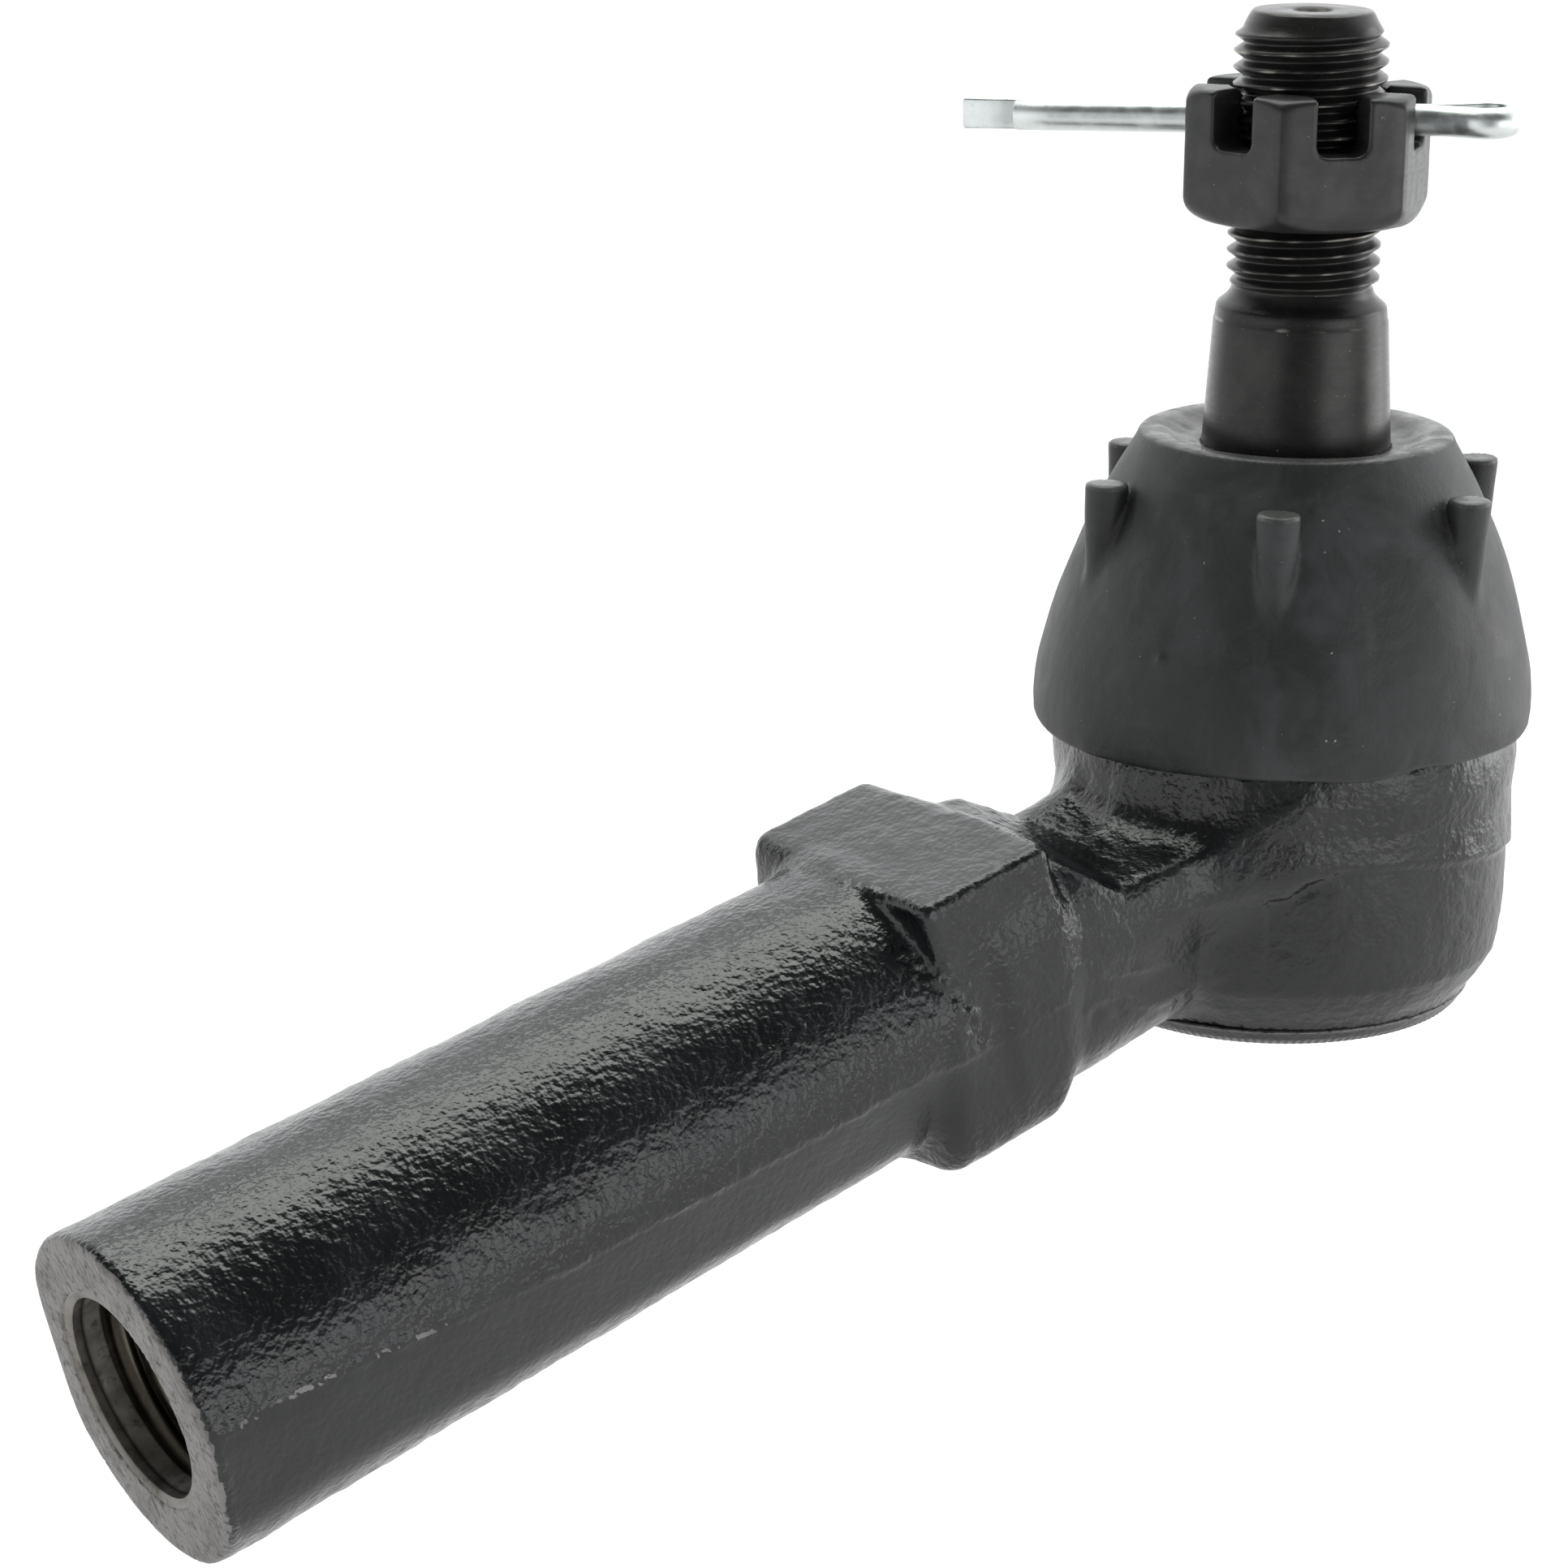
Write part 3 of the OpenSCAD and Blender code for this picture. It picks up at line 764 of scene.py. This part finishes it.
def build_bore(material):
    """Counterbore, thread and drilled end of the shank's hole, as one lining.

    The counterbore's wall stands at the radius of the thread's root.
    """
    crest, root = BORE_MINOR_R, BORE_MINOR_R + THREAD_DEPTH
    end = SHANK_END - 0.12
    mouth = SHANK_END - MOUTH_DEPTH
    deep = BORE_THREAD_DEEP
    thread_end = deep + 5.2
    edge_r = MOUTH_R - 0.028
    rows = [(MOUTH_R + 0.9, deep - 1.0), (MOUTH_R + 0.9, end - 0.3), (MOUTH_R, end), (edge_r, end - 0.1)]
    wall = np.concatenate([
        np.linspace(end - 0.1, mouth + 0.35, 17)[1:],
        np.linspace(mouth + 0.35, mouth - 0.1, 6)[1:],
        np.arange(mouth - 0.25, mouth - 22, -0.17),
        np.arange(mouth - 22.2, deep, -0.25),
    ])
    rows += [(root, z) for z in wall]
    rows += [(crest, deep), (crest, deep - 0.4), (0.4, deep - 0.9), (0.05, deep - 1.0)]

    def shape(radius, turn, height):
        fade = np.clip((mouth - 0.2 - height) / 1.6, 0, 1) * (height > thread_end)
        wave = thread_wave(height, turn, 0.2) * fade
        return np.where(radius == root, root - THREAD_DEPTH * wave, radius)

    points, quads = lathe(rows[::-1], 120, shape)
    piece = make_piece("bore_thread", along_shank(points), quads, "housing", material)
    radius, depth = np.hypot(points[:, 0], points[:, 1]), points[:, 2]
    groove_at = end - 1.15
    machined = np.clip((depth - mouth + 0.1) / 0.2, 0, 1)
    groove = np.exp(-((depth - groove_at) / 0.2) ** 2)
    lip = np.clip((depth - groove_at - 0.05) / 0.2, 0, 1)
    add_values(piece, "machined", machined * (1 - groove) * (1 - 0.55 * lip))
    crests = np.clip((crest + 0.3 - radius) / 0.25, 0, 1)
    add_values(piece, "crest", crests * (depth < mouth - 0.2))


# ---------------------------------------------------------------- stud, nut and cotter pin

def stud_thread_radius(height, turn):
    """Radius of the stud over its threaded length, running out at both ends."""
    wave = thread_wave(height, turn, STUD_THREAD_TURN)
    start = np.clip((height - 46.2) / 0.9, 0, 1)
    end = np.clip((STUD_TOP - 1.1 - height) / 1.2, 0, 1)
    crest = STUD_THREAD_R - 0.2 * (1 - start)
    root = STUD_THREAD_R - THREAD_DEPTH
    return root + (crest - root) * wave * start * end + (1 - start) * 0.25


def pin_turn():
    """The rotation that takes the pin's own X to its place across the stud."""
    tilt, turn = math.radians(PIN_TILT), math.radians(PIN_TURN)
    return Matrix.Rotation(turn, 3, "Z") @ Matrix.Rotation(-tilt, 3, "Y")


def drill_pin_hole(piece):
    """Cut the cotter pin's hole through the stud's threaded end."""
    hole = bmesh.new()
    radius, length = (PIN_R + 0.18) * MM, 24 * MM
    bmesh.ops.create_cone(hole, cap_ends=True, segments=40, radius1=radius, radius2=radius, depth=length)
    across = pin_turn() @ Matrix.Rotation(math.pi / 2, 3, "Y")
    bmesh.ops.transform(hole, verts=hole.verts, matrix=across.to_4x4())
    bmesh.ops.translate(hole, verts=hole.verts, vec=(0, 0, PIN_HEIGHT * MM))
    drill = bpy.data.objects.new("drill", bpy.data.meshes.new("drill"))
    hole.to_mesh(drill.data)
    hole.free()
    bpy.context.scene.collection.objects.link(drill)
    cut = piece.modifiers.new("hole", "BOOLEAN")
    cut.operation = "DIFFERENCE"
    cut.solver = "EXACT"
    cut.object = drill
    graph = bpy.context.evaluated_depsgraph_get()
    drilled = bpy.data.meshes.new_from_object(piece.evaluated_get(graph))
    piece.modifiers.clear()
    piece.data = drilled
    bpy.data.objects.remove(drill)


def build_stud(material):
    """Ball, neck, taper and threaded end, with the cotter pin's hole drilled through."""
    ball_r, flat, neck_r = 13.5, 12.6, 6.8
    ball_turns = np.radians(np.arange(21.1, 149.8, 4))
    ball = [(ball_r * math.sin(a), -ball_r * math.cos(a)) for a in ball_turns]
    taper_bottom, taper_bottom_r = 22.0, 9.29
    slope_up = (TAPER_TOP_R - taper_bottom_r) / (TAPER_TOP - taper_bottom)
    heights = np.linspace(taper_bottom, 43.15, 16)
    taper = [(TAPER_TOP_R + slope_up * (z - TAPER_TOP), z) for z in heights]
    shoulder = [(TAPER_TOP_R, 43.38), (TAPER_TOP_R - 0.07, 43.52), (7.82, 44.1), (7.76, 44.55),
                (7.6, 44.8), (7.15, 45.15), (6.75, 45.55), (6.5, 45.95), (6.4, 46.3)]
    low_rows = [(0.01, -flat), (ball[0][0] - 0.3, -flat)] + ball
    low_rows += [(neck_r, 12.2), (neck_r, 17.0)] + taper + shoulder
    thread_rows = [(0, z) for z in np.arange(46.4, STUD_TOP - 1.55, 0.125)]
    top_rows = [(5.95, STUD_TOP - 1.0), (5.5, STUD_TOP - 0.18), (5.3, STUD_TOP), (1.95, STUD_TOP),
                (1.75, STUD_TOP - 0.12), (0.2, STUD_TOP - 2.2), (0.01, STUD_TOP - 2.25)]
    rows = low_rows + thread_rows + top_rows
    first, last = len(low_rows), len(low_rows) + len(thread_rows)

    def shape(radius, turn, height):
        threaded = np.zeros(radius.shape, bool)
        threaded[first:last] = True
        chamfer = 5.95 + (STUD_TOP - 1.0 - height) * 0.95
        wound = np.minimum(stud_thread_radius(height, turn), np.maximum(chamfer, 5.9))
        return np.where(threaded, wound, radius)

    points, quads = lathe(rows, 144, shape)
    piece = make_piece("stud_body", points, quads, "stud", material)
    drill_pin_hole(piece)
    points = mesh_points(piece.data)
    radius = np.hypot(points[:, 0], points[:, 1])
    z = points[:, 2]
    # Thread crests and the shoulder's edge are lightened in colour: partly wear, partly painted highlights
    # standing in for glints; the top rim is marked as worn.
    crest = np.clip((radius - (STUD_THREAD_R - 0.22)) / 0.2, 0, 1) * (z > 47) * (z < STUD_TOP - 1.2)
    shoulder_edge = np.exp(-((z - 43.45) / 0.12) ** 2)
    rim = np.exp(-(((z - STUD_TOP) / 0.1) ** 2 + ((radius - 5.35) / 0.2) ** 2))
    patchy = 0.75 + 0.35 * bumps(points, 2.6, 33)
    add_values(piece, "edge", 0.55 * crest * patchy + 0.8 * shoulder_edge * patchy + 0.5 * rim)
    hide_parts("ball_stud")


def nut_field(x, y, z):
    """Chamfered hexagon with six slots and a threaded hole."""
    r = np.hypot(x, y)
    turn = np.arctan2(y, x)
    sixth = math.pi / 3
    flat_turn = (turn - math.radians(NUT_CORNER_TURN)) % sixth - sixth / 2
    body = r * np.cos(flat_turn) - NUT_FLAT_R
    lobe = smooth_max(body, r - NUT_CORNER_R, 0.5)
    low_chamfer = (r - 9.7) * 0.57 - (z - NUT_BOTTOM) * 0.82
    top_chamfer = (r - 10.55) * 0.55 + (z - NUT_TOP) * 0.84
    nut = smooth_max(smooth_max(lobe, low_chamfer, 0.9), top_chamfer, 0.6)
    nut = smooth_max(nut, np.maximum(NUT_BOTTOM - z, z - NUT_TOP), 0.45)
    slot_turn = (turn - math.radians(SLOT_TURN) + sixth / 2) % sixth - sixth / 2
    across = np.abs(r * np.sin(slot_turn)) - SLOT_WIDTH / 2
    slot = smooth_max(across, SLOT_BOTTOM - z, 1.3)
    nut = smooth_max(nut, -slot, 0.35)
    wave = thread_wave(z, turn, STUD_THREAD_TURN)
    inner = 6.35 + 0.72 * wave
    mouth = np.maximum(inner, np.maximum(7.5 - (z - NUT_BOTTOM), 7.3 - (NUT_TOP - z)))
    return smooth_max(nut, mouth - r, 0.15)


def build_nut(material):
    """The slotted nut, with its edges marked as worn."""
    step = 0.24
    reach = 12.6
    low, high = (-reach, -reach, NUT_BOTTOM - 1.1), (reach, reach, NUT_TOP + 1.1)
    points, quads = surface_net(nut_field, low, high, step)
    points, normals = settle(nut_field, points, step)
    points = points + normals * (0.012 * bumps(points, 2.5, 31))[:, None]
    piece = make_piece("slotted_nut", points, quads, "stud", material)
    bend = convexity(points, normals, quads)
    add_values(piece, "edge", np.clip(bend * 0.32 - 0.08, 0, 0.42))
    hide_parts("castle_nut")


def pin_route():
    """The middle of the wire's flat side: one leg in, round the eye, and the other leg out."""
    half_gap = 0.03
    eye_inner = 1.72
    eye_middle = EYE_REACH - eye_inner - PIN_R
    leg_end = eye_middle - 6.0
    first_leg = [(x, -half_gap) for x in np.linspace(-SHORT_LEG, leg_end, 12)]
    start_turn = math.radians(-120)
    touch_x = eye_middle + eye_inner * math.cos(start_turn)
    touch_y = eye_inner * math.sin(start_turn)
    swell = np.linspace(0, 1, 9)[1:-1]
    out = [(leg_end + (touch_x - leg_end) * t, -half_gap + (touch_y + half_gap) * t * t) for t in swell]
    turns = np.linspace(start_turn, -start_turn, 26)
    loop = [(eye_middle + eye_inner * math.cos(a), eye_inner * math.sin(a)) for a in turns]
    back = [(x, -y) for x, y in out[::-1]]
    second_leg = [(x, half_gap) for x in np.linspace(leg_end, -LONG_LEG, 12)]
    return np.array(first_leg + out + loop + back + second_leg)


def wire_section():
    """Outline of the half-round wire, from its flat side outwards, with small round corners."""
    corner = 0.12
    turns = np.radians(np.linspace(-90, 90, 17))
    bulge = [(PIN_R * math.cos(a), PIN_R * math.sin(a)) for a in turns[1:-1]]
    flat_half = PIN_R - 2 * corner
    near_edge = PIN_R - corner * 0.6
    section = [(0.0, -flat_half), (corner * 0.4, -near_edge)] + bulge
    section += [(corner * 0.4, near_edge), (0.0, flat_half)]
    section += [(0.0, v) for v in np.linspace(flat_half, -flat_half, 6)[1:-1]]
    return np.array(section)


def build_pin(material):
    """Cotter pin bent from half-round wire, flat sides together."""
    route = pin_route()
    along = np.gradient(route, axis=0)
    along /= np.linalg.norm(along, axis=1)[:, None]
    outward = np.stack([along[:, 1], -along[:, 0]], 1)
    section = wire_section()
    rings = []
    for place, side in zip(route, outward):
        flat = place + side * section[:, [0]]
        rings.append(np.column_stack([flat, section[:, 1]]))
    for end in (0, -1):
        middle = rings[end].mean(0)
        step = along[end] * (0.12 if end else -0.12)
        tip = rings[end] * 0.86 + middle * 0.14
        tip[:, :2] += step
        cap = middle + np.array([*step, 0])
        fan = cap + (tip - cap) * 0.02
        rings = [fan, tip] + rings if end == 0 else rings + [tip, fan]
    points = np.concatenate(rings)
    quads = ring_faces(len(rings), len(section))
    points = points @ np.array(pin_turn()).T + (0, 0, PIN_HEIGHT)
    piece = make_piece("split_pin", points, quads, "cotter_pin", material)
    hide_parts("cotter_pin")


# ---------------------------------------------------------------- dust boot

BOOT_OUTLINE = ((BOOT_HEM, 22.85), (6.4, 23.1), (8.5, 23.1), (11.0, 22.85), (14.0, 22.2),
                (17.0, 21.4), (20.0, 20.45), (23.0, 19.35), (26.0, 17.95), (29.0, 16.45),
                (31.5, 15.0), (BOOT_TOP, 14.1))


def taper_radius(z):
    """Radius of the stud's 1:8 taper."""
    return TAPER_TOP_R + (TAPER_TOP - z) / 16


def boot_radius(z):
    """The boot's outer radius, with its outline's corners softened."""
    shares = ((-1, 0.25), (0, 0.5), (1, 0.25))
    return sum(share * along_line(z + lift, BOOT_OUTLINE) for lift, share in shares)


def boot_field(x, y, z):
    """Hollow dome with six nibs, a dished top and a hole for the stud."""
    heights, radii = zip(*BOOT_OUTLINE)
    r = np.hypot(x, y)
    wall = boot_radius(z)
    lean = np.interp(z, heights, np.abs(np.gradient(radii, heights)))
    face = 1 / np.sqrt(1 + lean ** 2)
    skin = (r - wall) * face
    dish_depth, dish_rim, dish_run = 1.15, 13.0, 3.4
    dish = dish_depth * (1 - np.cos(math.pi * np.clip((dish_rim - r) / dish_run, 0, 1))) / 2
    dome = smooth_max(skin, z - BOOT_TOP + 0.12 + dish, 0.45)
    dome = smooth_max(dome, BOOT_HEM - z, 0.5)
    turn = np.arctan2(y, x) - math.radians(NIB_TURN)
    sixth = math.pi / 3
    fold = turn - np.round(turn / sixth) * sixth
    nib_x, nib_y = r * np.cos(fold) - NIB_MIDDLE, r * np.sin(fold)
    peg = np.hypot(nib_x, nib_y) - NIB_R + 0.045 * (NIB_TOP - z)
    peg = smooth_max(smooth_max(peg, z - NIB_TOP, 0.4), 16.0 - z, 0.5)
    whole = smooth_min(dome, peg, 0.5)
    hollow = smooth_max((r - wall + BOOT_WALL) * face, z - 29.0, 2)
    hole = r - taper_radius(z) + 0.12
    return np.maximum(smooth_max(whole, -hollow, 0.3), -hole)


def build_boot(material):
    """The rubber boot: uneven skin, one pimple, and a skirt that sits off centre with a wavy hem."""
    step = 0.38
    low, high = (-24.6, -24.6, BOOT_HEM - 1.2), (24.6, 24.6, BOOT_TOP + 1.2)
    points, quads = surface_net(boot_field, low, high, step)
    points, normals = settle(boot_field, points, step)
    x, y, z = points.T
    turn = np.degrees(np.arctan2(y, x))
    outer = np.clip((np.hypot(x, y) - 15.5) / 3, 0, 1)
    uneven = outer * (0.05 * bumps(points, 9, 41) + 0.012 * bumps(points, 2.2, 42))
    points = points + normals * uneven[:, None]
    pimple_turn, pimple_r, pimple_z = -162.5, 21.7, 15.6
    away = np.hypot(np.radians(turn - pimple_turn) * pimple_r, z - pimple_z)
    points = points + normals * (0.35 * np.exp(-(away / 0.45) ** 2))[:, None]
    shift = 0.5 * np.clip((29 - z) / 23, 0, 1)
    points[:, 0] += OFFSET_X * shift
    points[:, 1] += OFFSET_Y * shift
    hem = np.clip((12 - z) / 6, 0, 1)
    sag = 0.16 * np.sin(np.radians(turn) * 3 + 0.6) + 0.1 * np.sin(np.radians(turn) * 5 + 2.0)
    fold = -0.35 * np.exp(-((turn + 113) / 9) ** 2) + 0.35 * np.exp(-((turn + 97) / 7) ** 2)
    points[:, 2] += hem * (sag + fold - 0.012 * (OFFSET_X * x + OFFSET_Y * y))
    points[:, 2] = np.maximum(points[:, 2], BOOT_HEM - 0.25)
    piece = make_piece("rubber_boot", points, quads, None, material)
    radius = np.hypot(x, y)
    # The up-facing top and the nib tops are marked for a lighter colour: partly rubbed rubber, partly a
    # painted sheen.
    on_top = np.clip((normals[:, 2] - 0.6) / 0.2, 0, 1) * (z > 30.5)
    nib_tops = ((z > NIB_TOP - 0.4) & (z < NIB_TOP + 0.2) & (radius > 17.3)).astype(float)
    add_values(piece, "rubbed", np.clip(on_top + 0.8 * nib_tops, 0, 1))
    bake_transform(piece)
    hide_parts("dust_boot")


# ---------------------------------------------------------------- camera, floor and light

def build_camera():
    """The camera at the photograph's place."""
    place = Vector((-269.849, -294.413, 115.325)) * MM
    yaw, pitch, roll = 0.6243196, -0.2861797, 0.0072947
    focal_px, frame_px = 5411.505, 1932
    data = bpy.data.cameras.new("camera")
    data.sensor_width = 36.0
    data.lens = focal_px / frame_px * data.sensor_width
    data.clip_start = 0.01
    camera = bpy.data.objects.new("camera", data)
    bpy.context.scene.collection.objects.link(camera)
    level = math.cos(pitch)
    forward = Vector((math.sin(yaw) * level, math.cos(yaw) * level, math.sin(pitch)))
    right = Vector((math.cos(yaw), -math.sin(yaw), 0))
    up = right.cross(forward)
    rolled_right = right * math.cos(roll) + up * math.sin(roll)
    rolled_up = up * math.cos(roll) - right * math.sin(roll)
    turn = Matrix((rolled_right, rolled_up, -forward)).transposed().to_4x4()
    camera.matrix_world = Matrix.Translation(place) @ turn
    bpy.context.scene.camera = camera


def build_floor(material):
    """A wide white table under the part's lowest point."""
    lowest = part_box("housing")[0].z - 0.0002
    rings = [(r, 0.0) for r in (0.5, 60, 130, 200, 260)]
    points, quads = lathe(rings, 64)
    mesh = bpy.data.meshes.new("floor")
    mesh.from_pydata((points * MM).tolist(), [], quads[:, ::-1].tolist())
    mesh.materials.append(material)
    floor = bpy.data.objects.new("floor", mesh)
    floor.location = (0, 0, lowest)
    bpy.context.scene.collection.objects.link(floor)


def add_panel(name, place, target, size, power, colour=(1, 1, 1)):
    """A soft rectangular light, aimed at a point."""
    data = bpy.data.lights.new(name, "AREA")
    data.shape = "RECTANGLE"
    data.size, data.size_y = size
    data.energy = power
    data.color = colour
    lamp = bpy.data.objects.new(name, data)
    lamp.location = place
    lamp.rotation_euler = (Vector(target) - Vector(place)).to_track_quat("-Z", "Y").to_euler()
    bpy.context.scene.collection.objects.link(lamp)


def toward(tree, x, y, azimuth):
    """How far a direction's level part points to an azimuth, up to 1."""
    turn = math.radians(azimuth)
    along_x, along_y = times(tree, x, math.cos(turn)), times(tree, y, math.sin(turn))
    return maths(tree, "ADD", along_x, along_y)


def build_light():
    """A white tent, bright behind the part and low down and dim overhead, with two panels."""
    world = bpy.data.worlds.new("studio")
    bpy.context.scene.world = world
    world.use_nodes = True
    tree = world.node_tree
    background = tree.nodes["Background"]
    background.inputs["Color"].default_value = (0.98, 0.99, 1.0, 1)
    way = add_node(tree, "ShaderNodeTexCoord").outputs["Generated"]
    parts = add_node(tree, "ShaderNodeSeparateXYZ", {0: way})
    x, y, z = parts.outputs
    back_glow = ramp(tree, toward(tree, x, y, 41), -0.25, 0.55, 0.0, 1.55)
    low_glow = ramp(tree, z, 0.2, 0.52, 1.0, 0.12)
    # A dim gap behind the camera, a bright strip to its right and a brighter side to its left.
    changes = ((-132, 0.84, 0.98, 0.35), (-79, 0.88, 0.99, 2.6), (165, 0.6, 0.95, 1.4))
    for azimuth, start, end, strength in changes:
        change = ramp(tree, toward(tree, x, y, azimuth), start, end, 1.0, strength)
        low_glow = times(tree, low_glow, change)
    tent = maths(tree, "MAXIMUM", back_glow, low_glow)
    seen = add_node(tree, "ShaderNodeLightPath").outputs["Is Camera Ray"]
    tree.links.new(mix_value(tree, seen, tent, 1.05), background.inputs["Strength"])
    middle = (-0.045, 0, 0)
    add_panel("top_panel", (0.10, 0.18, 0.75), middle, (0.9, 0.42), 4.4, (0.95, 1.0, 0.93))
    add_panel("right_panel", (0.75, -0.25, 0.1), middle, (0.5, 0.6), 2.2)


def finish_inner_pieces():
    """Materials for the CAD pieces that keep their shape."""
    materials = {
        "cover_plate": plain_metal("cover_steel", (0.03, 0.03, 0.031), (0.055, 0.055, 0.057), 0.42, 0.2),
        "preload_spring": plain_metal("spring_steel", (0.2, 0.21, 0.23), (0.3, 0.31, 0.33), 0.34, 1.0),
        "boot_ring": plain_metal("ring_steel", (0.3, 0.3, 0.31), (0.4, 0.4, 0.41), 0.38, 1.0),
        "lower_bearing": bearing_material(),
        "upper_bearing": bearing_material(),
    }
    for node, material in materials.items():
        mesh = frame["nodes"][node].data
        mesh.materials.clear()
        mesh.materials.append(material)


def main():
    build_camera()
    build_floor(floor_material())
    build_light()
    paint = paint_material()
    build_forging(paint)
    build_lip(paint)
    build_bore(bore_material())
    build_stud(oxide_material("stud_oxide", (0.019, 0.0188, 0.0182), (0.031, 0.0298, 0.0285), 0.3, 0.7))
    build_nut(oxide_material("nut_phosphate", (0.026, 0.0258, 0.0262), (0.038, 0.0378, 0.0378), 0.38, 0.5))
    build_pin(zinc_material())
    build_boot(rubber_material())
    finish_inner_pieces()
    view = bpy.context.scene.view_settings
    view.view_transform = "Standard"
    view.look = "None"


main()
